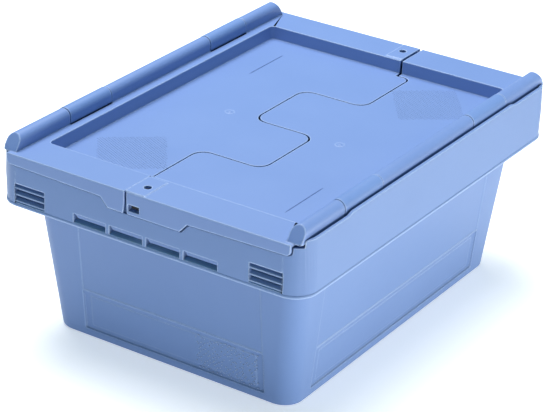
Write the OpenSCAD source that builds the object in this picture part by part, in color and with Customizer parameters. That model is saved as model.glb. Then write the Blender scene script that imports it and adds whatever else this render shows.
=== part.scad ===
// Stacking crate with an attached two-leaf lid, in millimetres, +Z up. The origin is at the middle of the foot.
// The crate looks the same after half a turn about Z, so the left lid leaf is the right one turned round,
// but for the flap that the right leaf's seal tab has over the gap between them.

/* [Container] */
// Length over the lid's end skirts
crate_l = 400; // [398:1:404]
// Width over the collar
crate_w = 300; // [298:1:304]
// Length of the foot, just above its rounded edge
foot_l = 325; // [320:0.5:326]
// Width of the foot, just above its rounded edge
foot_w = 239; // [234:0.5:240]
// Outward lean of the walls for each millimetre of height
draft = 0.104; // [0.095:0.001:0.11]
// Thickness of the container's walls and floor
wall = 2.5; // [2:0.1:2.6]
// Radius of the collar's corners in plan
collar_r = 20; // [18:0.5:22]
// Height of the collar's lower edge
collar_bottom = 123; // [122:0.1:124]
// Height of the collar's top edge along the hinges
collar_top = 173.5; // [172:0.1:173.5]

/* [Lid] */
// Height of the lid's border
border_top = 169; // [168.8:0.1:169.4]
// Depth of the stacking recess
recess_depth = 12; // [10:0.5:13]
// Thickness of the lid
lid_t = 2.2; // [2:0.1:2.2]
// Length of the stacking recess at the border
recess_l = 329; // [328:0.5:331]
// Width of the stacking recess at the border
recess_w = 245; // [243:0.5:246]
// Width of the gap between the leaves on the recess floor
leaf_gap = 1.2; // [1.2:0.1:1.6]

/* [Hinges] */
// Distance of each hinge axis from the middle plane
hinge_y = 138.4; // [138.2:0.1:138.6]
// Height of the hinge axes
hinge_z = 176.8; // [176.6:0.1:177]
// Radius of the hinge rods
rod_r = 2; // [1.5:0.1:2]
// Length of a hinge clip
clip_l = 55.5; // [40:0.5:60]

/* [Hidden] */
$fn = 48;
far = 300;                            // past every face, for cutting tools

// container
skin = 0.8;                           // how far the lid's end skirts stand proud of the collar
collar_l = crate_l - 2 * skin;
foot_r = 17;                          // vertical corners of the tapered body
foot_edge = 2;                        // rounding of the foot's lower edge
rim_top = 164.5;                      // ledge that carries the clips, under the lid's border
rebate = 2.4;                         // depth of the step behind the skirts, in from the collar's face
rebate_bottom = 143.5;
rest_half = 123.5;                    // half length of the edge that carries the lid's border
corner_top = 165.8;                   // height of the collar's corners, which the rails' ends swing over
corner_out = 145.4;                   // half width up to which the corners are cut down
rest_top = border_top - lid_t - 0.3;  // edge that the lid's border lies on
lean = atan(draft);                   // angle of the tapered walls

// end skirts of the lid: a deep middle and shallow flanks
skirt_t = 2.2;
skirt_end = 137.5;                    // half width of the skirts
skirt_deep = 149.5;                   // lower edge in the middle, beside it, and at the corners
skirt_shallow = 157.3;
skirt_corner = 159.5;
skirt_corner_r = 4;
skirt_mid = 35;                       // half width of the deep part
skirt_ramp = 7;
skirt_play = 0.8;                     // between skirt and collar

// features of the end faces
grip_windows = [[-70.3, -38.2], [-34.4, -1.8], [1.8, 34.4], [38.2, 70.3]];  // from y, to y
grip_z = [125.6, 133.4];
lip_w = 6.5;                          // width of the lip under the grip windows
grip_half = 75;                       // half width of the lip
louvre_y = 115.5;
louvre_size = [31, 17];
louvre_bottom = 125.8;
slat_pitch = 5.8;
slat_lean = 35;                       // the slats rise inwards
slat_t = 1.8;
pocket_d = 5;                         // depth of the louvres' pockets, and the wall round them
pocket_t = 1.2;
panel_depth = 0.8;
panel_z = [8, 45];
panel_end = [-94, 86];                // end panel, from y, to y
panel_side = [-129, 134];             // side panel, the same way round

// lid
recess_lean = 1.2;                    // how far the recess walls lean in
recess_r = 4.5;
floor_top = border_top - recess_depth;
part_y = 31;                          // the parting runs to and fro between y = part_y and y = -part_y
part_x = 79;                          // where it crosses, and at x = 0
part_end_x = 157.5;                     // foot of the recess's end walls
part_end_y = 17.5;                    // the parting through the border and the skirt
part_r = 12;                          // its rounded corners
part_end_r = 6.5;
end_gap = 2.2;                        // gap between the leaves in the border and the skirts
tab_w = 17;                           // seal tab
tab_t = 0.6;
seal_x = 184.4;
seal_y = 6.9;
seal_r = 3.2;
seal_window = [4, 14.8, 152.8, 158.5]; // from y, to y, from z, to z in the front skirt

// rails and clips
rail_y = 137.8;                       // middle of the rails' round crest
crest_top = 182.2;                    // highest point, on the clips
rail_r = 6.7;                         // crest of the rails
clip_r = 7;                           // crest of the clips
rail_bottom = 168.5;                  // lower edge of a rail's outer wall
rail_inset = 3.4;                     // rails' footprint, in from the collar's face
rail_gap = rail_inset + skin;         // the same, in from the skirts
rail_end_l = 13;                      // solid ends of the rails
rail_end_r = 2.5;
rail_end_lean = 34;                   // their slope, from plumb
rod_end = crate_l / 2 - rail_gap - rail_end_l + 3;
bore_r = rod_r + 0.05;
clip_x = [-106, 96.5];                // middles of the right-hand clips
clip_play = 0.7;
clip_skirt = 169.7;                   // lower edge of a clip's inner wall, above the lid's border
clip_foot_w = 9.3;
border_edge = 130;                    // edge of the border beside a clip
web_t = 3;
upstand_t = 3.3;                      // collar edge beside the rails
low_edge = 1.8;                       // how much lower it is near the corners, past low_x
low_x = 129;
corner_x = 185.5;
leg_l = 14;                           // snap legs under the clips
leg_t = 2;
leg_y = 141;

// ---- shared shapes ----

module rounded(l, w, r) {
    square([l, w - 2 * r], center = true);
    square([l - 2 * r, w], center = true);
    for (x = [-1, 1], y = [-1, 1]) translate([x * (l / 2 - r), y * (w / 2 - r)]) circle(r);
}

// plan of the collar, moved inwards by d
module outline(d) rounded(collar_l - 2 * d, crate_w - 2 * d, collar_r - d);

module slab(z0, z1) translate([0, 0, z0]) linear_extrude(z1 - z0) children();

// a shape drawn in y and z, carried along x
module along_x(x0, x1) translate([x0, 0, 0]) rotate([90, 0, 90]) linear_extrude(x1 - x0) children();

module box(x, y, z) translate([x[0], y[0], z[0]]) cube([x[1] - x[0], y[1] - y[0], z[1] - z[0]]);

module both_ends() for (turn = [0, 180]) rotate([0, 0, turn]) children();

function turned(v, a) = [v.x * cos(a) - v.y * sin(a), v.x * sin(a) + v.y * cos(a)];

// the points of an arc of radius r that rounds the corner at v, between a and b
function corner(a, v, b, r, n = 6) =
    let (u = (v - a) / norm(v - a), w = (b - v) / norm(b - v), way = sign(cross(u, w)), bend = acos(u * w),
         start = v - u * r * tan(bend / 2), middle = start + way * r * [-u.y, u.x])
    [for (i = [0 : n]) middle + turned(start - middle, way * bend * i / n)];

// ---- container ----

// tapered body with a rounded foot, moved inwards by d, from height z0 up
module taper(d, z0, z1) {
    edge = foot_edge - d;
    hull() for (step = [[0, edge], [edge * 0.3, edge * 0.3], [edge, 0], [z1 - z0, 0]]) {
        out = draft * (z0 + step[0]) - d - step[1];
        translate([0, 0, z0 + step[0]])
            linear_extrude(0.01) rounded(foot_l + 2 * out, foot_w + 2 * out, foot_r - d, $fn = 32);
    }
}

// the space of the end skirts, in y and z, widened by d
module skirt_profile(d) {
    low = [skirt_mid + d + skirt_ramp, skirt_shallow - d];
    end = [skirt_end + d, skirt_corner - d];
    top = [skirt_end + d, border_top + (d > 0 ? far : 0)];
    half = concat([[skirt_mid + d, skirt_deep - d], low], corner(low, end, top, skirt_corner_r), [top]);
    last = len(half) - 1;
    polygon(concat(half, [for (i = [last : -1 : 0]) [-half[i].x, half[i].y]]));
}

module collar() {
    difference() {
        slab(collar_bottom, collar_top) outline(0);
        slab(collar_bottom - 1, rim_top - wall) outline(wall);
        slab(rim_top, far) outline(upstand_t);
    }
    // wall behind the end skirts, which the lid's border rests on
    difference() {
        slab(rebate_bottom, rim_top) outline(1);
        slab(rebate_bottom - 1, rim_top + 1) outline(rebate + wall);
        box([-far, far], [skirt_end + 2, far], [0, far]);
        box([-far, far], [-far, -skirt_end - 2], [0, far]);
    }
    both_ends() box([-collar_l / 2 + rebate, -collar_l / 2 + rebate + wall], [-rest_half, rest_half], [rim_top - 1, rest_top]);
}

// lip and gussets that stiffen the hand grip
module grip() {
    face = -collar_l / 2;
    box([face + 1, face + wall + lip_w], [-grip_half, grip_half], [collar_bottom, grip_z[0]]);
    for (y = [-72, -36.3, 0, 36.3, 72])
        translate([face + wall - 0.5, y + 0.8, collar_bottom]) rotate([90, 0, 0]) linear_extrude(1.6)
            polygon([[0, 0], [lip_w, 0], [lip_w, 2], [0, 12]]);
}

// cut of a louvre (side = 1 or -1), or the block behind it, widened by d
module louvre_pocket(side, x0, depth, d)
    translate([-collar_l / 2, side * louvre_y, louvre_bottom])
        box([x0, depth], [-louvre_size.x / 2 - d, louvre_size.x / 2 + d], [-d, louvre_size.y + d]);

module louvre_slats() {
    for (side = [-1, 1], i = [0 : 2])
        translate([-collar_l / 2 + slat_t * sin(slat_lean) + 0.2, side * louvre_y, louvre_bottom + slat_pitch * i + 0.4]) rotate([0, -slat_lean, 0])
            translate([0, -louvre_size.x / 2 - 0.5, 0]) cube([4.4, louvre_size.x + 1, slat_t]);
}

// cut that sinks a panel of that span into a tapered wall whose foot is at distance d
module panel(d, span) {
    translate([-d, 0, 0]) rotate([0, -lean, 0]) {
        box([-far, panel_depth], span, panel_z);
        box([-far, panel_depth / 2], span, [panel_z[1] + 1.5, far]);
    }
}

module snap_slots() {
    for (side = [0, 180], x = clip_x, end = [-1, 1])
        rotate([0, 0, side]) translate([x + end * clip_l / 4, -leg_y, 0])
            box([-leg_l / 2 - 0.3, leg_l / 2 + 0.3], [-leg_t / 2 - 0.3, leg_t / 2 + 1.2], [rim_top - wall - 1, rim_top + 1]);
}

module container_body() color("cornflowerblue") {
    difference() {
        union() {
            difference() {
                taper(0, 0, rim_top);
                both_ends() {
                    panel(foot_l / 2, panel_end);
                    rotate([0, 0, 90]) panel(foot_w / 2, panel_side);
                }
            }
            difference() {
                collar();
                slab(0, rim_top - wall - 0.01) square([foot_l, foot_w], center = true);
            }
            both_ends() {
                grip();
                for (side = [-1, 1]) louvre_pocket(side, wall / 2, pocket_d + pocket_t, pocket_t);
            }
        }
        taper(wall, wall + 0.5, far);
        // step for the end skirts
        difference() {
            along_x(-far, far) skirt_profile(skirt_play);
            slab(0, far) outline(rebate);
        }
        // the collar is cut away beside the lid's border, and lowered near the corners
        box([-far, far], [-skirt_end - skirt_play, skirt_end + skirt_play], [rest_top, far]);
        both_ends() {
            translate([0, far, 0]) rotate([90, 0, 0]) linear_extrude(2 * far)
                polygon([[-low_x, far], [-low_x, collar_top], [-low_x - 6, collar_top - low_edge],
                         [-far, collar_top - low_edge], [-far, far]]);
            for (y = [-corner_out, rest_half + 4])
                box([-far, -corner_x], [y, y + corner_out - rest_half - 4], [corner_top, far]);
        }
        both_ends() {
            for (w = grip_windows) box([-far, -collar_l / 2 + wall + 0.4], w, grip_z);
            for (side = [-1, 1]) louvre_pocket(side, -far, pocket_d, 0);
            box([-far, -collar_l / 2 + rebate + 2 * wall], [seal_window[0], seal_window[1]],
                [seal_window[2], seal_window[3]]);
            translate([-seal_x, seal_y, rebate_bottom]) cylinder(far, seal_r, seal_r);
        }
        snap_slots();
    }
    both_ends() louvre_slats();
}

// ---- lid ----

// edge of the right leaf towards the left one, with half the gap g
function parting(g) =
    let (p = [[-far, part_end_y - g], [-part_end_x + g, part_end_y - g], [-part_end_x + g, part_y - g],
              [-part_x - g, part_y - g], [-part_x - g, -part_y - g], [g, -part_y - g], [g, part_y - g],
              [part_x - g, part_y - g], [part_x - g, -part_y - g], [part_end_x + g, -part_y - g],
              [part_end_x + g, -part_end_y - g], [far, -part_end_y - g]],
         r = [0, 1.5, part_end_r, part_r, part_r, part_r, part_r, part_r, part_r, part_end_r, 1.5, 0])
    [for (i = [0 : len(p) - 1])
        each (r[i] == 0 ? [p[i]] : corner(p[i - 1], p[i], p[i + 1], r[i]))];

// everything that the right leaf may fill: its plan, with the end edges leaning back so that it swings clear
module right_side() {
    difference() {
        slab(0, far) polygon(concat(parting(leaf_gap / 2), [[far, -far], [-far, -far]]));
        along_x(-far, -part_end_x) end_edge(part_end_y, 156, 0.7);
        along_x(part_end_x + 1, far) end_edge(-part_end_y, 158, 1.3);
    }
}

// space beyond an end edge at y: plumb down to z, then leaning back by b at the skirt's lower edge
module end_edge(y, z, b) {
    edge = y - end_gap / 2;
    polygon([[edge, far], [edge, z], [edge - b, skirt_deep], [edge - b, 0], [far, 0], [far, far]]);
}

module recess(l, w, r, z0, z1, extra) {
    hull() {
        slab(z0, z0 + 0.01) rounded(l - 2 * recess_lean, w - 2 * recess_lean, r, $fn = 32);
        slab(z1, z1 + extra) rounded(l, w, r, $fn = 32);
    }
}

module lid_shell() {
    difference() {
        union() {
            slab(border_top - lid_t, border_top) {
                square([crate_l, 2 * (rail_y - rail_r + lid_t)], center = true);
                for (x = [-1, 1]) translate([x * (crate_l / 2 - 5), 0]) square([10, 2 * skirt_end], center = true);
            }
            recess(recess_l + 2 * lid_t, recess_w + 2 * lid_t, recess_r + lid_t, floor_top - lid_t, border_top - 0.1, 0.1);
            both_ends() along_x(-crate_l / 2, skirt_t - crate_l / 2) skirt_profile(0);
        }
        recess(recess_l, recess_w, recess_r, floor_top, border_top, 1);
    }
}

// section of a rail or a clip about its axis: a round crest of radius r over walls down to z
module crest(r, z) translate([-rail_y, 0]) {
    translate([0, crest_top - clip_r]) circle(r);
    translate([-r, z]) square([2 * r, crest_top - clip_r - z]);
}

// one length of rail on the right leaf, hollow, with webs that ride on the rod
module rail(x0, x1, webs) {
    difference() {
        along_x(x0, x1) crest(rail_r, rail_bottom);
        along_x(x0 + web_t, x1 - web_t) crest(rail_r - lid_t, 0);
        box([x0 - 1, x1 + 1], [-rail_y - rail_r + lid_t, -rail_y + rail_r - lid_t], [0, border_top]);
    }
    for (i = [1 : 1 : webs])
        translate([x0 + (x1 - x0) * i / (webs + 1), 0, 0])
            along_x(-web_t / 2, web_t / 2) crest(rail_r - 1, border_top);
}

module rails() {
    end = crate_l / 2;
    half = clip_l / 2 + clip_play;
    difference() {
        intersection() {
            union() {
                rail(-end, clip_x[0] - half, 0);
                rail(clip_x[0] + half, clip_x[1] - half, 2);
                rail(clip_x[1] + half, end, 0);
                // closed ends
                for (x = [-end, end - rail_end_l - rail_gap])
                    along_x(x, x + rail_end_l + rail_gap) crest(rail_r, rail_bottom);
            }
            slab(0, far) rounded(collar_l - 2 * rail_inset, 2 * (rail_y + rail_r), rail_end_r);
        }
        // the ends lean inwards
        for (side = [-1, 1])
            translate([side * (end - rail_gap), 0, border_top]) rotate([0, -side * rail_end_lean, 0])
                translate([side * far / 2, 0, 0]) cube([far, 2 * far, 80], center = true);
        along_x(-rod_end, rod_end) translate([-hinge_y, hinge_z]) circle(bore_r);
    }
}

// plateau of the seal hole; the flap reaches over the gap, short of the other leaf
module seal_tab(flap) {
    edge = part_end_y - end_gap / 2;
    box([-crate_l / 2 + 1, -recess_l / 2 - 3], [edge - tab_w, edge + flap], [border_top - 1, border_top + tab_t]);
}

module lid_leaf(flap) {
    difference() {
        union() {
            intersection() {
                lid_shell();
                right_side();
            }
            seal_tab(flap);
            rails();
        }
        for (x = clip_x) box([x - clip_l / 2 - clip_play, x + clip_l / 2 + clip_play], [-far, -border_edge], [0, far]);
        translate([-seal_x, seal_y, 0]) cylinder(far, seal_r, seal_r);
        box([-far, -collar_l / 2 + 2], [seal_window[0], seal_window[1]], [seal_window[2], seal_window[3]]);
    }
}

module lid_leaf_right() color("cornflowerblue") lid_leaf(end_gap - 0.5);
module lid_leaf_left() color("cornflowerblue") rotate([0, 0, 180]) lid_leaf(0);

// ---- hinges ----

module hinge_rod() along_x(-rod_end + 0.5, rod_end - 0.5) translate([-hinge_y, hinge_z]) circle(rod_r);

module hinge_rod_right() color("silver") hinge_rod();
module hinge_rod_left() color("silver") rotate([0, 0, 180]) hinge_rod();

module snap_leg() {
    box([-leg_l / 2, leg_l / 2], [-leg_t / 2, leg_t / 2], [rim_top - wall - 3, rim_top + 0.1]);
    box([-leg_l / 2, leg_l / 2], [-leg_t / 2, leg_t / 2 + 0.8], [rim_top - wall - 3, rim_top - wall - 1.2]);
}

module hinge_clip(x) {
    difference() {
        union() {
            along_x(x - clip_l / 2, x + clip_l / 2) {
                crest(clip_r, clip_skirt);
                translate([-rail_y - clip_r, rim_top + 0.05]) square([clip_foot_w, clip_skirt - rim_top]);
            }
            for (end = [-1, 1]) translate([x + end * clip_l / 4, -leg_y, 0]) snap_leg();
        }
        along_x(-far, far) translate([-hinge_y, hinge_z]) circle(bore_r);
    }
}

module hinge_clip_right_front() color("royalblue") hinge_clip(clip_x[0]);
module hinge_clip_right_rear() color("royalblue") hinge_clip(clip_x[1]);
module hinge_clip_left_front() color("royalblue") rotate([0, 0, 180]) hinge_clip(clip_x[1]);
module hinge_clip_left_rear() color("royalblue") rotate([0, 0, 180]) hinge_clip(clip_x[0]);

container_body();
lid_leaf_right();
lid_leaf_left();
hinge_rod_right();
hinge_rod_left();
hinge_clip_right_front();
hinge_clip_right_rear();
hinge_clip_left_front();
hinge_clip_left_rear();
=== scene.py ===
import math

import bmesh
import bpy
import numpy as np
from mathutils import Matrix, Vector


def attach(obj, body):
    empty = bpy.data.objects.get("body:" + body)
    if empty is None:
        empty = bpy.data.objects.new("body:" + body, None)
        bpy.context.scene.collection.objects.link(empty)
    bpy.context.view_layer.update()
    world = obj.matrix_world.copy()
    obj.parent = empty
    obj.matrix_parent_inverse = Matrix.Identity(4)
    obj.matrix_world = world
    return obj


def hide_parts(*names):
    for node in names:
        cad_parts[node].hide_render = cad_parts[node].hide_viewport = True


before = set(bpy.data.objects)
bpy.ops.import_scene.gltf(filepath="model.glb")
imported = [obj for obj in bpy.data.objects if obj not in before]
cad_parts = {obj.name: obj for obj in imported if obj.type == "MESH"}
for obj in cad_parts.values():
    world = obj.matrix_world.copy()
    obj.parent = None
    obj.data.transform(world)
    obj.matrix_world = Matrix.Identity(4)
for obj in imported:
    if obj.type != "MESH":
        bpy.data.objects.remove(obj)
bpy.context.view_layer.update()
print("frame loaded,", len(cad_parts), "solids")

mm = 0.001


class Wire:
    # a socket of single values that Python's operators work on: each operator adds one Math node
    def __init__(self, tree, socket):
        self.tree, self.socket = tree, socket

    def combined(self, operation, a, b):
        made = self.tree.nodes.new("ShaderNodeMath")
        made.operation = operation
        plug(self.tree, made.inputs[0], a)
        plug(self.tree, made.inputs[1], b)
        return Wire(self.tree, made.outputs[0])

    def __add__(self, other): return self.combined("ADD", self, other)
    def __radd__(self, other): return self.combined("ADD", other, self)
    def __sub__(self, other): return self.combined("SUBTRACT", self, other)
    def __rsub__(self, other): return self.combined("SUBTRACT", other, self)
    def __mul__(self, other): return self.combined("MULTIPLY", self, other)
    def __rmul__(self, other): return self.combined("MULTIPLY", other, self)
    def __pow__(self, other): return self.combined("POWER", self, other)


def plug(tree, socket, value):
    if isinstance(value, Wire):
        tree.links.new(value.socket, socket)
    else:
        socket.default_value = value


class Finish:
    # a material with its Principled shader; node() adds any other node
    def __init__(self, name, fixed):
        self.material = bpy.data.materials.new(name)
        self.material.use_nodes = True
        self.tree = self.material.node_tree
        self.shader = self.tree.nodes["Principled BSDF"]
        for socket, value in fixed.items():
            self.shader.inputs[socket].default_value = value

    def node(self, kind, settings, sockets, out=0):
        made = self.tree.nodes.new(kind)
        for key, value in settings.items():
            setattr(made, key, value)
        for key, value in sockets.items():
            plug(self.tree, made.inputs[key], value)
        return Wire(self.tree, made.outputs[out])

    def mixed(self, amount, a, b):            # a colour Mix node has its factor at 0, its colours at 6 and 7
        return self.node("ShaderNodeMix", {"data_type": "RGBA"}, {0: amount, 6: a, 7: b}, out=2)

    def ramped(self, value, start, full, top=1.0):    # 0 until start, then rising to top at full
        return self.node("ShaderNodeMapRange", {}, {"Value": value, "From Min": start, "From Max": full,
                                                    "To Min": 0.0, "To Max": top})

    def upPart(self, vector):
        return self.node("ShaderNodeSeparateXYZ", {}, {"Vector": vector}, out="Z")

    def feed(self, socket, wire):
        plug(self.tree, self.shader.inputs[socket], wire)


def rgba(red, green, blue):
    return (red, green, blue, 1)


mouldedPlastic = {
    "gloss": 0.45, "refraction": 1.49,
    "grain": 2600, "grainDepth": 0.05 * mm,       # spark-eroded mould grain: how fine and how deep
    "ripple": 90, "rippleDepth": 0.22 * mm,       # slow waviness of a moulded wall
    "relief": 0.6,                                # strength of both in the normal
    "mottle": 14,                                 # how fine the slow drift of colour is
    "edge": 1.6 * mm, "edgeLift": 1.0,            # width and strength of the painted highlight along edges
    "edgeTurn": (0.998, 0.88),                    # cosine of the edge's turn where the painted edge highlight starts and is full
    "edgePatches": (0.7, 0.6),                       # how patchy the painted edge highlight is
    "crevice": 3.5 * mm, "creviceShade": 0.42,     # reach and strength of the painted shade in narrow corners
    "roughness": (0.38, 0.5), "edgeRoughness": 0.06,
    "samples": 6,
}
# the same painted edge highlight and corner shade at other widths and strengths; the lip's edges get a wider
# painted highlight
softPlastic = {**mouldedPlastic, "edge": 0.5 * mm, "edgeLift": 0.15, "crevice": 1 * mm, "creviceShade": 0.35}
lidLook = {**mouldedPlastic, "creviceShade": 0.24}
lipLook = {**mouldedPlastic, "edge": 2.2 * mm, "crevice": 0.3 * mm}


def plastic(name, tones, look=mouldedPlastic, shadeBand=None, litSill=None):
    # a base tone that drifts slowly to another, with a painted highlight along edges and painted shade in narrow
    # corners, with mould grain in the roughness and the normal
    finish = Finish(name, {"Specular IOR Level": look["gloss"], "IOR": look["refraction"]})
    place = finish.node("ShaderNodeTexCoord", {}, {}, out="Object")
    drift, fine, wave = [
        finish.node("ShaderNodeTexNoise", {}, {"Vector": place, "Scale": scale, "Detail": detail})
        for scale, detail in ((look["mottle"], 3.0), (look["grain"], 2.0), (look["ripple"], 1.0))]
    rounded = finish.node("ShaderNodeBevel", {"samples": look["samples"]}, {"Radius": look["edge"]})
    flat = finish.node("ShaderNodeNewGeometry", {}, {}, out="Normal")
    facing = finish.node("ShaderNodeVectorMath", {"operation": "DOT_PRODUCT"}, {0: rounded, 1: flat}, out="Value")
    # mask of the painted highlight along edges, from how far the rounded normal turns from the flat one
    paintedEdge = finish.ramped(facing, *look["edgeTurn"], look["edgeLift"])
    # painted shade in narrow corners, from ambient occlusion
    clear = finish.node("ShaderNodeAmbientOcclusion", {"samples": look["samples"]},
                        {"Distance": look["crevice"]}, out="AO")
    body = finish.mixed(drift, tones["drift"], tones["base"])
    body = finish.mixed((1 - clear) * look["creviceShade"], body, tones["corner"])
    even, patchy = look["edgePatches"]
    body = finish.mixed(paintedEdge * (even + patchy * fine) * clear ** 3, body, tones["paintedEdge"])    # none in a corner
    # painted shade: a dark tone above a height
    if shadeBand:                  # another tone above a height
        body = finish.mixed(finish.ramped(finish.upPart(place), shadeBand["from"], shadeBand["to"]), body, shadeBand["tone"])
    # painted light: a pale tone on upward faces below a height
    if litSill:                  # another tone on upward faces below a height
        upward = finish.ramped(finish.upPart(flat), *litSill["upward"])
        under = finish.ramped(finish.upPart(place), litSill["below"], litSill["below"] - litSill["fade"])
        body = finish.mixed(upward * under, body, litSill["tone"])
    finish.feed("Base Color", body)
    low, high = look["roughness"]
    finish.feed("Roughness", low + (high - low) * (0.6 * drift + 0.4 * fine) + look["edgeRoughness"] * paintedEdge)
    height = look["grainDepth"] * fine + look["rippleDepth"] * wave
    finish.feed("Normal", finish.node("ShaderNodeBump", {}, {"Height": height, "Distance": 1.0,
                                                             "Strength": look["relief"], "Normal": rounded}))
    return finish.material


# paintedEdge is the painted highlight along edges (painted shade on the ribs); corner is the painted shade in
# narrow corners
plasticTones = {
    "container": {"base": rgba(0.15, 0.252, 0.515), "drift": rgba(0.13, 0.227, 0.48),
                  "paintedEdge": rgba(0.56, 0.71, 0.96), "corner": rgba(0.03, 0.07, 0.20)},
    "lid": {"base": rgba(0.178, 0.283, 0.575), "drift": rgba(0.158, 0.258, 0.545),
            "paintedEdge": rgba(0.56, 0.72, 0.97), "corner": rgba(0.035, 0.085, 0.24)},
    "clip": {"base": rgba(0.165, 0.278, 0.575), "drift": rgba(0.145, 0.252, 0.54),
             "paintedEdge": rgba(0.56, 0.72, 0.97), "corner": rgba(0.035, 0.085, 0.24)},
    # the ribs are painted dark as painted shade, their edges darker still
    "rib": {"base": rgba(0.158, 0.258, 0.545), "drift": rgba(0.08, 0.15, 0.36),
            "paintedEdge": rgba(0.06, 0.12, 0.30), "corner": rgba(0.035, 0.085, 0.24)},
}
# painted light and shade, like the ribs' painted shade: painted shade on the tub's wall behind the collar, and
# painted light on the pale upward sills of the grips
shadeBehindCollar = {"from": 130 * mm, "to": 136 * mm, "tone": rgba(0.006, 0.01, 0.025)}
litGripSill = {"below": 127.5 * mm, "fade": 1 * mm, "upward": (0.7, 0.95), "tone": rgba(0.44, 0.70, 1.0)}

containerPlastic = plastic("containerPlastic", plasticTones["container"])
lidPlastic = plastic("lidPlastic", plasticTones["lid"], lidLook)
clipPlastic = plastic("clipPlastic", plasticTones["clip"])
collarPlastic = plastic("collarPlastic", plasticTones["container"], litSill=litGripSill)
tubPlastic = plastic("tubPlastic", plasticTones["container"], shadeBand=shadeBehindCollar)
lipPlastic = plastic("lipPlastic", plasticTones["container"], lipLook)
ribPlastic = plastic("ribPlastic", plasticTones["rib"])
studPlastic = plastic("studPlastic", plasticTones["lid"], softPlastic)

wireSteel = {
    "stretch": (40.0, 3000.0, 3000.0),            # long along X, fine across
    "tones": (rgba(0.50, 0.51, 0.53), rgba(0.64, 0.65, 0.67)), "drift": 60.0,
    "roughness": (0.24, 0.18), "lineDepth": 0.02 * mm,
}


def drawnSteel(name, look):
    # drawn wire: fine lines along X in roughness and bump, a little colour drift
    finish = Finish(name, {"Metallic": 1.0})
    place = finish.node("ShaderNodeTexCoord", {}, {}, out="Object")
    drawn = finish.node("ShaderNodeMapping", {}, {"Vector": place, "Scale": look["stretch"]})
    lines = finish.node("ShaderNodeTexNoise", {}, {"Vector": drawn, "Scale": 1.0, "Detail": 3.0})
    tone = finish.node("ShaderNodeTexNoise", {}, {"Vector": place, "Scale": look["drift"]})
    finish.feed("Base Color", finish.mixed(tone, *look["tones"]))
    low, span = look["roughness"]
    finish.feed("Roughness", low + span * lines)
    finish.feed("Normal", finish.node("ShaderNodeBump", {}, {"Height": look["lineDepth"] * lines, "Distance": 1.0}))
    return finish.material


steel = drawnSteel("drawnSteel", wireSteel)
print("materials made")


def meshPiece(name, points, faces, material, smoothUnder=40):
    mesh = bpy.data.meshes.new(name)
    mesh.from_pydata(np.asarray(points).reshape(-1, 3).tolist(), [], faces)
    mesh.materials.append(material)
    return placed(name, mesh, smoothUnder)


def placed(name, mesh, smoothUnder):
    piece = bpy.data.objects.new(name, mesh)
    bpy.context.scene.collection.objects.link(piece)
    mesh.shade_smooth()
    mesh.set_sharp_from_angle(angle=math.radians(smoothUnder))
    return piece


def gridFaces(rows, columns, loop=True):
    # quads of a grid of rows by columns points; a looped grid joins its last column to its first
    row, column = np.meshgrid(np.arange(rows - 1), np.arange(columns if loop else columns - 1), indexing="ij")
    after = (column + 1) % columns
    quads = np.stack([row * columns + column, row * columns + after,
                      (row + 1) * columns + after, (row + 1) * columns + column], -1)
    return quads.reshape(-1, 4).tolist()


def rounding(piece, width):
    bevel = piece.modifiers.new("roundedEdges", "BEVEL")
    bevel.width, bevel.segments = width, 2
    bevel.limit_method, bevel.angle_limit = "ANGLE", math.radians(32)
    bevel.use_clamp_overlap = False
    even = piece.modifiers.new("evenNormals", "WEIGHTED_NORMAL")
    even.keep_sharp, even.weight = True, 90
    return piece


tub = {                       # tapered walls with sunken panels
    "halfLength": 162.5 * mm, "halfWidth": 119.5 * mm, "corner": 17 * mm,    # foot, in plan
    "draft": 0.104, "wall": 2.5 * mm,
    "footEdge": 2 * mm, "floorEdge": 3 * mm,      # rounding round the underside and round the floor
    "top": 162.4 * mm, "seam": 150 * mm,          # upper ends of the outer and the inner wall
    "panelEnd": (-86 * mm, 94 * mm), "panelSide": (-134 * mm, 129 * mm),     # spans along each wall
    "panelLow": (8 * mm, 45 * mm), "panelDepth": 1.6 * mm,
    "upperFrom": 46.5 * mm, "upperDepth": 0.6 * mm,
    "middleInset": (7 * mm, 4.2 * mm), "middleRise": 0.45 * mm,      # raised middle: how far in, along and up
    "softness": 0.5 * mm,                         # how wide the steps between panels are
}


def step(value, at, soft):
    # 0 below at and 1 above it, over a width of about soft: (1 + tanh) / 2
    return 0.5 + 0.5 * np.tanh((value - at) / soft * 2)


def inside(value, low, high, soft):
    # 1 from low to high and 0 outside: a step up times one less a step
    return step(value, low, soft) * (1 - step(value, high, soft))


def turned(plan, turn):
    # plan points turned by quarters of a circle: (x c - y s, x s + y c)
    c, s = [(1, 0), (0, 1), (-1, 0), (0, -1)][turn]
    x, y = plan[..., 0], plan[..., 1]
    return np.stack([x * c - y * s, x * s + y * c], -1)


def cornerArc(across, along, radius):
    # a quarter circle round the corner's centre: (across + radius cos a, along + radius sin a)
    a = np.radians(np.linspace(0, 90, 15))[None, :]
    return np.stack([across + radius * np.cos(a), along + radius * np.sin(a)], -1)


def raised(plan, z):
    # one outline for each row, at that row's height
    return np.concatenate([plan, np.broadcast_to(z[..., None], plan.shape[:2] + (1,))], -1)


def withSteps(marks, around, low, high, count):
    # even values from low to high, with a close group around every mark
    return np.unique(np.concatenate([(np.array(marks)[:, None] + around).ravel(),
                                     np.linspace(low, high, count)]).round(6))


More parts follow.
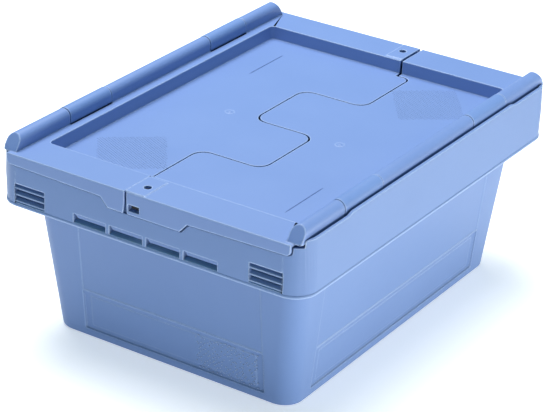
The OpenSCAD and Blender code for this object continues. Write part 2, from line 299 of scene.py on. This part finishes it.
def tubShape(look):
    # point (along, z) of a wall = its half size at the foot + draft z - how far the panels sink there;
    # four such walls, each with the rounded corner after it, make one outline for each height
    soft, (inset, insetUp) = look["softness"], look["middleInset"]
    zLow, zHigh = look["panelLow"]
    around = np.linspace(-1.2, 1.2, 7) * soft
    middleZ = [zLow + insetUp, zHigh - insetUp]
    rows = withSteps([zLow, zHigh, look["upperFrom"], *middleZ], around, look["footEdge"], look["top"], 26)
    edge = np.radians(np.linspace(90, 0, 6)[:-1])
    edgeUp = look["footEdge"] * (1 - np.sin(edge))
    edgeIn = look["footEdge"] * (1 - np.cos(edge))
    z = np.concatenate([edgeUp, rows])[:, None]
    out = look["draft"] * z - np.concatenate([edgeIn, np.zeros_like(rows)])[:, None]
    share = np.linspace(0, 1, 4)[None, 1:-1]
    corner = look["corner"]
    ring = []
    for turn in range(4):
        half, reach, span = [(look["halfLength"], look["halfWidth"], look["panelEnd"]),
                             (look["halfWidth"], look["halfLength"], look["panelSide"])][turn % 2]
        first, last = span
        kept = withSteps([first, first + inset, last - inset, last], around, first, last, 30)
        limit = reach - corner + out
        along = np.concatenate([-limit + share * (kept[0] + limit), np.broadcast_to(kept, (len(z), len(kept))),
                                kept[-1] + share * (limit - kept[-1])], 1)
        panel = inside(along, first, last, soft)
        middle = inside(along, first + inset, last - inset, soft) * inside(z, *middleZ, soft)
        sunk = look["panelDepth"] * panel * inside(z, zLow, zHigh, soft) - look["middleRise"] * middle
        sunk = sunk + look["upperDepth"] * panel * step(z, look["upperFrom"], soft)
        wall = np.stack([half + out - sunk, along], -1)
        bend = cornerArc(half - corner + out, limit, corner)
        ring.append(turned(np.concatenate([wall, bend], 1), turn))
    return raised(np.concatenate(ring, 1), z)


def innerShape(look):
    # the same walls one wall thickness further in, from the seam down, and rounded into the floor
    edge, corner = look["floorEdge"], look["corner"] - look["wall"]
    down = np.linspace(look["seam"], look["wall"] + edge, 12)
    bendDown = np.radians([22, 45, 68, 90])
    z = np.concatenate([down, look["wall"] + edge * (1 - np.sin(bendDown))])[:, None]
    dip = np.concatenate([np.zeros_like(down), edge * (1 - np.cos(bendDown))])[:, None]
    out = look["draft"] * z - look["wall"] - dip
    share = np.linspace(-1, 1, 9)[None, :-1]
    ring = []
    for turn in range(4):
        half, reach = [(look["halfLength"], look["halfWidth"]), (look["halfWidth"], look["halfLength"])][turn % 2]
        limit = reach - corner + out
        wall = np.stack(np.broadcast_arrays(half + out, share * limit), -1)
        bend = cornerArc(half - corner + out, limit, corner)
        ring.append(turned(np.concatenate([wall, bend], 1), turn))
    return raised(np.concatenate(ring, 1), z)


def makeTub(look):
    outer, inner = tubShape(look), innerShape(look)
    rows, columns = outer.shape[:2]
    outerFaces = gridFaces(rows, columns) + [list(range(columns))[::-1]]        # the last is the underside
    offset = rows * columns
    innerRows, innerColumns = inner.shape[:2]
    innerFaces = [[i + offset for i in quad] for quad in gridFaces(innerRows, innerColumns)]
    innerFaces.append([offset + (innerRows - 1) * innerColumns + i for i in range(innerColumns)])    # the floor
    points = np.concatenate([outer.reshape(-1, 3), inner.reshape(-1, 3)])
    piece = meshPiece("tub_walls", points, outerFaces + innerFaces, tubPlastic)
    piece.data.materials.append(containerPlastic)                # the inside has no shaded band
    slots = np.repeat([0, 1], [len(outerFaces), len(innerFaces)]).astype(np.int32)
    piece.data.polygons.foreach_set("material_index", slots)
    return piece


tubWalls = makeTub(tub)
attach(tubWalls, "container")
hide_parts("container_body")
print("tub made:", len(tubWalls.data.vertices), "points")


def planDistance(x, y, halfLength, halfWidth, corner, out):
    # distance outside a rounded rectangle whose corner centres move out with it
    dx = np.abs(x) - (halfLength - corner + out)
    dy = np.abs(y) - (halfWidth - corner + out)
    return np.hypot(np.maximum(dx, 0), np.maximum(dy, 0)) + np.minimum(np.maximum(dx, dy), 0) - corner


def merged(nodeName):
    # a copy of a solid, whose triangles are loose, with the corners that they share made one
    source = bmesh.new()
    source.from_mesh(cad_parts[nodeName].data)
    bmesh.ops.remove_doubles(source, verts=source.verts, dist=2e-6)
    return source


def meshFrom(source, name, material):
    mesh = bpy.data.meshes.new(name)
    source.normal_update()
    source.to_mesh(mesh)
    mesh.materials.clear()
    mesh.materials.append(material)
    return mesh


def readArray(items, key, kind, width=1):
    values = np.empty(len(items) * width, kind)
    items.foreach_get(key, values)
    return values.reshape(-1, width) if width > 1 else values


collarRim = {
    "halfLength": 199.2 * mm, "halfWidth": 150 * mm, "corner": 20 * mm,      # outer face, in plan
    "setBack": 0.45 * mm, "beyond": (179 * mm, 130 * mm),       # how far the face stands behind the lip, and where
    "bottom": 123 * mm, "tubBelow": 100 * mm, "tubTop": 162.1 * mm,          # below and up to which it is all tub
    "close": 0.06 * mm, "closeFace": 0.03 * mm, "sunkMost": 1.2 * mm,        # what still counts as on a wall
    "lip": [(-2.5, -0.5), (-0.3, -0.5), (-0.08, -0.42), (0, -0.2),           # outward and up from the bottom, mm
            (0, 1.2), (-0.12, 1.65), (-0.8, 2.4), (-2.5, 2.4)],
}


def collarPiece(look, walls):
    # the rim: the container's solid without the tapered walls that the tub piece stands for
    source = merged("container_body")
    bmesh.ops.bisect_plane(source, geom=[*source.verts, *source.edges, *source.faces], dist=1e-7,
                           plane_co=(0, 0, walls["seam"]), plane_no=(0, 0, 1))
    whole = meshFrom(source, "containerWhole", collarPlastic)
    x, y, z = readArray(whole.vertices, "co", np.float32, 3).astype(float).T
    foot = walls["halfLength"], walls["halfWidth"]
    outerGap = planDistance(x, y, *foot, walls["corner"], walls["draft"] * z)
    innerGap = planDistance(x, y, *foot, walls["corner"] - walls["wall"], walls["draft"] * z - walls["wall"])
    onOuter = (outerGap < look["close"]) & (outerGap > -look["sunkMost"]) & (z < look["tubTop"])
    onInner = (np.abs(innerGap) < look["close"]) & (z < walls["seam"] + 0.001 * mm)
    low = z < look["tubBelow"]
    # a face goes when every corner of it lies on one of the tub's walls or below the collar
    corners = readArray(whole.loops, "vertex_index", np.int32)
    starts = readArray(whole.polygons, "loop_start", np.int32)
    gone = np.logical_and.reduceat((onOuter | low)[corners], starts) \
        | np.logical_and.reduceat((onInner | low)[corners], starts)
    bpy.data.meshes.remove(whole)
    faces = list(source.faces)
    bmesh.ops.delete(source, geom=[faces[i] for i in np.flatnonzero(gone)], context="FACES")
    mesh = meshFrom(source, "collar", collarPlastic)
    source.free()

    # the outer face moves back towards the middle: size - setBack along each axis that it faces
    points = readArray(mesh.vertices, "co", np.float32, 3).astype(float)
    outside = planDistance(points[:, 0], points[:, 1], look["halfLength"], look["halfWidth"], look["corner"], 0)
    for axis in (0, 1):
        size = np.abs(points[:, axis])
        moved = (np.abs(outside) < look["closeFace"]) & (size > look["beyond"][axis])
        points[moved, axis] *= 1 - look["setBack"] / size[moved]
    mesh.vertices.foreach_set("co", points.astype(np.float32).ravel())
    mesh.update()
    return placed("collar", mesh, 40)


collar = rounding(collarPiece(collarRim, tub), 0.4 * mm)
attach(collar, "container")
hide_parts("container_body")


def roundedPath(halfLength, halfWidth, corner, steps=14, spacing=24):
    # anticlockwise outline: four straight runs and four arcs, with the outward normal at every point
    angle = np.linspace(0, np.pi / 2, steps)
    runs = []
    for turn in range(4):
        half, reach = (halfLength, halfWidth) if turn % 2 == 0 else (halfWidth, halfLength)
        along = np.linspace(-(reach - corner), reach - corner, spacing)[1:-1]
        places = np.concatenate([np.stack([np.full_like(along, half), along], -1),
                                 np.stack([half - corner + corner * np.cos(angle),
                                           reach - corner + corner * np.sin(angle)], -1)])
        normals = np.concatenate([np.stack([np.ones_like(along), 0 * along], -1),
                                  np.stack([np.cos(angle), np.sin(angle)], -1)])
        runs.append(np.concatenate([turned(places, turn), turned(normals, turn)], -1))
    return np.concatenate(runs)


def carried(path, profile):
    # profile (outward, z) carried along the path: point = path + outward normal, at height z
    outward, z = np.array(profile).T
    return np.stack([path[None, :, 0] + outward[:, None] * path[None, :, 2],
                     path[None, :, 1] + outward[:, None] * path[None, :, 3],
                     np.broadcast_to(z[:, None], (len(z), len(path)))], -1)


def lipPiece(look):
    # lower edge of the collar: a thickened lip whose top slopes back to the collar's face
    path = roundedPath(look["halfLength"], look["halfWidth"], look["corner"])
    profile = np.array(look["lip"]) * mm + (0, look["bottom"])
    n, last = len(path), len(profile) - 1
    closing = [(last * n + i, last * n + (i + 1) % n, (i + 1) % n, i) for i in range(n)]
    return meshPiece("collar_lip", carried(path, profile), gridFaces(len(profile), n) + closing, lipPlastic, 50)


collarLip = lipPiece(collarRim)
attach(collarLip, "container")
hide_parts("container_body")

# pieces that keep the solids' own shape, with their edges rounded
roundedSolids = [
    ("lid_leaf_right", "lid_right", lidPlastic, "right_leaf", "lid_plastic", 0.35 * mm),
    ("lid_leaf_left", "lid_left", lidPlastic, "left_leaf", "lid_plastic", 0.35 * mm),
    ("hinge_clip_right_front", "clip_right_front", clipPlastic, "container", "clip_plastic", 0.4 * mm),
    ("hinge_clip_right_rear", "clip_right_rear", clipPlastic, "container", "clip_plastic", 0.4 * mm),
    ("hinge_clip_left_front", "clip_left_front", clipPlastic, "container", "clip_plastic", 0.4 * mm),
    ("hinge_clip_left_rear", "clip_left_rear", clipPlastic, "container", "clip_plastic", 0.4 * mm),
]
for nodeName, pieceName, material, body, slot, width in roundedSolids:
    source = merged(nodeName)
    piece = rounding(placed(pieceName, meshFrom(source, pieceName, material), 40), width)
    source.free()
    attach(piece, body)
    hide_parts(nodeName)
print("collar, lid and clips made")


def addPiece(name, points, faces, material, body):
    piece = meshPiece(name, points, faces, material, 60)
    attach(piece, body)


def turnedCopy(points):
    # half a turn about the plumb axis: (-x, -y, z)
    return points * np.array([-1, -1, 1])


def studs(template, places, across, up):
    # every place gets the same stud: place + u across + v along + w up
    across, up = np.asarray(across, float), np.asarray(up, float)
    along = np.cross(up, across)
    shape = template[:, 0:1] * across + template[:, 1:2] * along + template[:, 2:3] * up
    return (places[:, None, :] + shape[None]).reshape(-1, 3)


def studTemplate(radius, height, sides=6):
    # a low dome: three rings at shares of the radius and the height, closed by a top point and a flat foot
    turn = np.arange(sides) / sides * 2 * np.pi
    rings = [np.stack([radius * share * np.cos(turn), radius * share * np.sin(turn), np.full(sides, lift)], -1)
             for share, lift in ((1.0, -0.1 * height), (0.78, 0.5 * height), (0.42, 0.86 * height))]
    points = np.concatenate(rings + [np.array([[0, 0, height]])])
    faces = gridFaces(3, sides)
    faces += [(2 * sides + i, 2 * sides + (i + 1) % sides, 3 * sides) for i in range(sides)]
    faces.append(tuple(range(sides))[::-1])
    return points, faces


def repeated(faces, count, size):
    # the same faces for every copy, numbered on by the size of a copy
    return [tuple(i + k * size for i in face) for k in range(count) for face in faces]


def within(points, corners):
    # which points lie inside a convex outline that runs anticlockwise: left of every side
    side = (np.roll(corners, -1, axis=0) - corners)[None]
    rel = points[:, None, :] - corners[None]
    return np.all(side[..., 0] * rel[..., 1] - side[..., 1] * rel[..., 0] > 0, axis=1)


def lattice(low, high, pitch, skew):
    # rows half a pitch apart, every other one shifted by half a pitch, all turned by skew about the middle
    u = np.arange(low[0], high[0], pitch)
    v = np.arange(low[1], high[1], pitch * 0.5)
    row, column = np.meshgrid(np.arange(len(v)), np.arange(len(u)), indexing="ij")
    points = np.stack([u[column] + (row % 2) * pitch * 0.5, v[row]], -1).reshape(-1, 2)
    middle = points.mean(0)
    c, s = math.cos(skew), math.sin(skew)
    return (points - middle) @ np.array([[c, s], [-s, c]]) + middle


floorTop = 157 * mm           # floor of the stacking recess in the lid
gripField = {                 # the fine studs on that floor; plan sizes in mm
    "outline": [(-160, 76), (-126, 31), (-75, 68), (-111, 114)], "margin": 5,
    "pitch": 3.2, "turn": 0.35, "radius": 0.75 * mm, "height": 0.13 * mm,
}
template, templateFaces = studTemplate(gripField["radius"], gripField["height"])
corners = np.array(gripField["outline"], float)
spots = lattice(corners.min(0) - gripField["margin"], corners.max(0) + gripField["margin"],
                gripField["pitch"], gripField["turn"])
spots = spots[within(spots, corners)]
places = np.concatenate([spots * mm, np.full((len(spots), 1), floorTop)], 1)
fieldPoints = studs(template, places, (1, 0, 0), (0, 0, 1))
fieldFaces = repeated(templateFaces, len(places), len(template))
addPiece("grip_field_left", fieldPoints, fieldFaces, studPlastic, "left_leaf")
addPiece("grip_field_right", turnedCopy(fieldPoints), fieldFaces, studPlastic, "right_leaf")

dotField = {                  # the dots low on the end walls; spans, pitch and jitter in mm
    "span": (-88, -28), "rise": (10, 43), "pitch": 4.4, "radius": 0.7 * mm, "height": 0.45 * mm,
    "seed": 7, "kept": 0.8, "jitter": 0.8,
}
template, templateFaces = studTemplate(dotField["radius"], dotField["height"])
spots = lattice(*zip(dotField["span"], dotField["rise"]), dotField["pitch"], 0)
scatter = np.random.default_rng(dotField["seed"])
spots = spots[scatter.random(len(spots)) < dotField["kept"]]
spots = spots + scatter.uniform(-dotField["jitter"], dotField["jitter"], spots.shape)
wallLean = math.atan(tub["draft"])
wallX = -(tub["halfLength"] + tub["draft"] * spots[:, 1] * mm - tub["panelDepth"] + tub["middleRise"])
places = np.stack([wallX, spots[:, 0] * mm, spots[:, 1] * mm], -1)
dotPoints = studs(template, places, (0, 1, 0), (-math.cos(wallLean), 0, -math.sin(wallLean)))
dotFaces = repeated(templateFaces, len(places), len(template))
addPiece("dots_front", dotPoints, dotFaces, containerPlastic, "container")
addPiece("dots_rear", turnedCopy(dotPoints), dotFaces, containerPlastic, "container")


def lathe(profile, centre, sides=40):
    # profile (r, z) turned round a plumb axis: centre + (r cos a, r sin a, z)
    turn = np.arange(sides) / sides * 2 * np.pi
    r, z = profile.T[..., None]
    points = np.stack([centre[0] + r * np.cos(turn), centre[1] + r * np.sin(turn), centre[2] + z + 0 * turn], -1)
    return points, gridFaces(len(profile), sides)


gateMark = {                  # plain round mark on each leaf
    "centre": (0, 56 * mm, floorTop),
    "profile": [(4.6, -0.1), (4.5, 0.1), (4.2, 0.22), (3.8, 0.22), (3.5, 0.05),     # radius and height, mm
                (1.1, 0.02), (0.9, 0.3), (0.4, 0.42), (0.02, 0.44)],
}
gatePoints, gateFaces = lathe(np.array(gateMark["profile"]) * mm, gateMark["centre"])
addPiece("gate_mark_left", gatePoints, gateFaces, lidPlastic, "left_leaf")
addPiece("gate_mark_right", turnedCopy(gatePoints), gateFaces, lidPlastic, "right_leaf")

floorRib = {
    "start": (135 * mm, 90 * mm), "end": (79 * mm, 90 * mm), "width": 0.9 * mm, "height": 0.45 * mm,
    "endShare": 12, "endLeast": 0.02,             # one over the share of the length that tapers, and its thin end
}


def bar(look, base):
    # a low rib: middle + (width / 2) taper cos a sideways, at base + height taper sin a
    start, end = np.array(look["start"]), np.array(look["end"])
    t = np.linspace(0, 1, 17)[:, None]
    a = np.linspace(0, np.pi, 7)
    taper = np.clip(np.minimum(t, 1 - t) * look["endShare"], look["endLeast"], 1) ** 0.5
    run = end - start
    side = np.array([-run[1], run[0]]) / np.linalg.norm(run)
    spread = look["width"] / 2 * taper * np.cos(a)
    plan = (start + t * run)[:, None, :] + spread[..., None] * side
    z = base + look["height"] * taper * np.sin(a)
    return np.concatenate([plan, z[..., None]], -1), gridFaces(len(t), len(a), loop=False)


ribPoints, ribFaces = bar(floorRib, floorTop)
addPiece("floor_rib_left", ribPoints, ribFaces, ribPlastic, "left_leaf")
addPiece("floor_rib_right", turnedCopy(ribPoints), ribFaces, ribPlastic, "right_leaf")

for nodeName in ("hinge_rod_right", "hinge_rod_left"):
    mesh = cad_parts[nodeName].data
    mesh.materials.clear()
    mesh.materials.append(steel)
print("pieces made")

studio = {
    "floorTones": (rgba(0.88, 0.88, 0.89), rgba(0.92, 0.92, 0.92)), "floorRoughness": 0.7, "floorDrift": 3.0,
    "glow": rgba(0.93, 0.97, 1.0), "glowStrength": 0.5,
    "floorHalf": 6.0, "floorLevel": -0.2 * mm,
    "sky": rgba(0.56, 0.9, 1.0), "skyStrength": 0.235,
}
lights = {
    "overheadBox": {"place": (0.28, 0.4, 1.8), "aim": (0, 0, 0.1), "size": (1.3, 1.3),
                    "power": 47.5, "tint": (1, 1, 1)},
    "lowRightBox": {"place": (-0.1, -1.0, 0.075), "aim": (0, 0, 0.075), "size": (1.8, 0.13),
                    "power": 8.8, "tint": (1, 0.92, 0.82)},
}
view = {
    "place": (-1.4666, -0.9391, 0.9360), "forward": (0.75406, 0.48772, -0.43991), "roll": math.radians(1.91),
    "lens": 148.7, "sensor": 36, "clip": (0.01, 50),
}


def floorSheet(look):
    # a flat square sheet: point = (u half, v half, level)
    paint = Finish("floorPaint", {"Roughness": look["floorRoughness"], "Emission Color": look["glow"],
                                  "Emission Strength": look["glowStrength"]})
    place = paint.node("ShaderNodeTexCoord", {}, {}, out="Object")
    speck = paint.node("ShaderNodeTexNoise", {}, {"Vector": place, "Scale": look["floorDrift"], "Detail": 2.0})
    paint.feed("Base Color", paint.mixed(speck, *look["floorTones"]))
    u, v = np.meshgrid([-1.0, 1.0], [-1.0, 1.0], indexing="ij")
    half = look["floorHalf"]
    points = np.stack([u * half, v * half, np.full_like(u, look["floorLevel"])], -1).reshape(-1, 3)
    mesh = bpy.data.meshes.new("floor")
    mesh.from_pydata(points.tolist(), [], [(0, 2, 3, 1)])
    mesh.materials.append(paint.material)
    sheet = bpy.data.objects.new("floor", mesh)
    bpy.context.scene.collection.objects.link(sheet)
    return sheet


floor = floorSheet(studio)

world = bpy.data.worlds.new("studioWorld")
bpy.context.scene.world = world
world.use_nodes = True
sky = world.node_tree.nodes["Background"]
sky.inputs["Color"].default_value = studio["sky"]
sky.inputs["Strength"].default_value = studio["skyStrength"]


def softbox(name, look):
    light = bpy.data.lights.new(name, "AREA")
    light.color = look["tint"]
    light.shape = "RECTANGLE"
    light.size, light.size_y = look["size"]
    light.energy = look["power"]
    lamp = bpy.data.objects.new(name, light)
    lamp.location = look["place"]
    lamp.rotation_euler = (Vector(look["aim"]) - Vector(look["place"])).to_track_quat("-Z", "Y").to_euler()
    lamp.visible_camera = False
    bpy.context.scene.collection.objects.link(lamp)


for name, look in lights.items():
    softbox(name, look)


def addCamera(look):
    # looks along forward, with the level right and up directions rolled about it
    forward = Vector(look["forward"])
    levelRight = forward.cross(Vector((0, 0, 1))).normalized()
    levelUp = levelRight.cross(forward)
    c, s = math.cos(look["roll"]), math.sin(look["roll"])
    right, up = levelRight * c + levelUp * s, -levelRight * s + levelUp * c
    lens = bpy.data.cameras.new("studioCamera")
    lens.lens, lens.sensor_width, lens.sensor_fit = look["lens"], look["sensor"], "HORIZONTAL"
    lens.clip_start, lens.clip_end = look["clip"]
    camera = bpy.data.objects.new("studioCamera", lens)
    aim = Matrix((right, up, -forward)).transposed()
    camera.matrix_world = Matrix.Translation(Vector(look["place"])) @ aim.to_4x4()
    bpy.context.scene.collection.objects.link(camera)
    return camera


bpy.context.scene.camera = addCamera(view)
bpy.context.scene.view_settings.view_transform = "Standard"
print("studio made")
